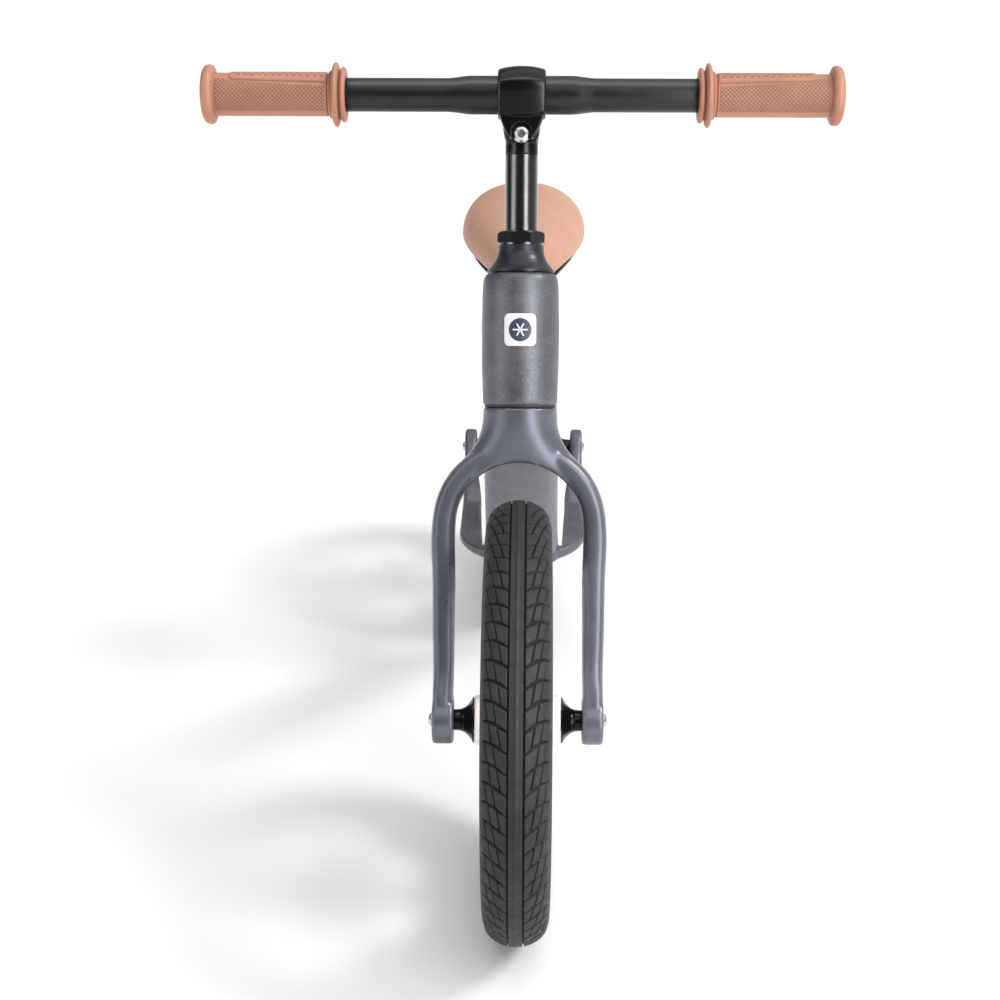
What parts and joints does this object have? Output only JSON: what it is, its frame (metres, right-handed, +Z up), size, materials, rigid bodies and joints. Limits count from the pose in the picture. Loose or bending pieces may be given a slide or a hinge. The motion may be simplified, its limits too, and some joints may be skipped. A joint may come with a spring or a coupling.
{
  "type": "balance bike",
  "caption": "Child's pedal-free balance bike: one-piece cast frame with a flat footrest, moulded fork, spoked air-tyre wheels, quill stem, straight bar and foam saddle.",
  "frame": {"origin": "on the ground, midway between the two wheels' contact points, in the bike's middle plane", "axes": "+Z up, -Y the way the bike rolls forward, +X to the rider's left"},
  "size_m": [0.429, 0.8598, 0.5708],
  "materials": {
    "tyre_rubber": "matt moulded rubber with a fine tread",
    "tube_rubber": "smooth butyl",
    "cream_nylon": "cream moulded nylon, satin",
    "bearing_steel": "ground steel with dark seals",
    "valve_rubber": "smooth black rubber",
    "black_plastic": "black moulded plastic",
    "plated_steel": "bright zinc plated",
    "gloss_black_alloy": "gloss black paint",
    "satin_black_alloy": "satin black anodised",
    "gloss_black_steel": "gloss black paint",
    "satin_black_steel": "satin black paint",
    "frame_grey": "dark grey fine-textured powder coat",
    "fork_slate": "slate blue-grey satin paint",
    "badge_plate": "white plate with a slate mark",
    "terracotta_rubber": "terracotta thermoplastic rubber",
    "saddle_foam": "terracotta integral-skin foam"
  },
  "bodies": {
    "frame": {"frame": "frame_grey", "badge": "badge_plate", "lower_headset_bearing": "bearing_steel", "upper_headset_bearing": "bearing_steel", "seat_clamp": "gloss_black_alloy", "seat_clamp_bolt": "plated_steel", "rear_axle": "plated_steel", "rear_hub_sleeve": "plated_steel", "rear_spacer_left": "gloss_black_alloy", "rear_spacer_right": "gloss_black_alloy", "rear_axle_bolts": "plated_steel"},
    "fork": {"fork": "fork_slate", "steerer": "plated_steel", "crown_race": "bearing_steel", "cone_cover": "satin_black_alloy", "lock_washer": "plated_steel", "locknut": "satin_black_alloy", "front_axle": "plated_steel", "front_hub_sleeve": "plated_steel", "front_spacer_left": "gloss_black_alloy", "front_spacer_right": "gloss_black_alloy", "front_axle_bolts": "plated_steel"},
    "stem": {"stem_quill": "gloss_black_steel", "stem_head": "gloss_black_alloy", "expander_wedge": "plated_steel", "expander_bolt": "plated_steel", "bar_clamp_bolt": "plated_steel"},
    "bar": {"handlebar": "satin_black_steel", "grip_left": "terracotta_rubber", "grip_right": "terracotta_rubber"},
    "saddle": {"seat_post": "gloss_black_steel", "saddle_bracket": "satin_black_steel", "saddle_screws": "plated_steel", "saddle_base": "black_plastic", "saddle_cover": "saddle_foam"},
    "front_wheel": {"front_tyre": "tyre_rubber", "front_inner_tube": "tube_rubber", "front_wheel": "cream_nylon", "front_bearing_left": "bearing_steel", "front_bearing_right": "bearing_steel", "front_valve_stem": "valve_rubber", "front_valve_cap": "black_plastic"},
    "rear_wheel": {"rear_tyre": "tyre_rubber", "rear_inner_tube": "tube_rubber", "rear_wheel": "cream_nylon", "rear_bearing_left": "bearing_steel", "rear_bearing_right": "bearing_steel", "rear_valve_stem": "valve_rubber", "rear_valve_cap": "black_plastic"}
  },
  "joints": [
    {"name": "steering", "type": "hinge", "parent": "frame", "child": "fork", "pos_m": [0, -0.255, 0.15], "axis": [0, 0.3007, 0.9537], "range_deg": [-60, 60]},
    {"name": "front_wheel_spin", "type": "hinge", "parent": "fork", "child": "front_wheel", "pos_m": [0, -0.28, 0.15], "axis": [1, 0, 0], "continuous": true},
    {"name": "rear_wheel_spin", "type": "hinge", "parent": "frame", "child": "rear_wheel", "pos_m": [0, 0.28, 0.15], "axis": [1, 0, 0], "continuous": true},
    {"name": "stem_height", "type": "slide", "parent": "fork", "child": "stem", "axis": [0, 0.3007, 0.9537], "range_m": [-0.035, 0.03]},
    {"name": "bar_tilt", "type": "hinge", "parent": "stem", "child": "bar", "pos_m": [0, -0.14789, 0.54958], "axis": [1, 0, 0], "range_deg": [-25, 25]},
    {"name": "seat_height", "type": "slide", "parent": "frame", "child": "saddle", "axis": [0, 0.0872, 0.9962], "range_m": [-0.035, 0.05]}
  ]
}
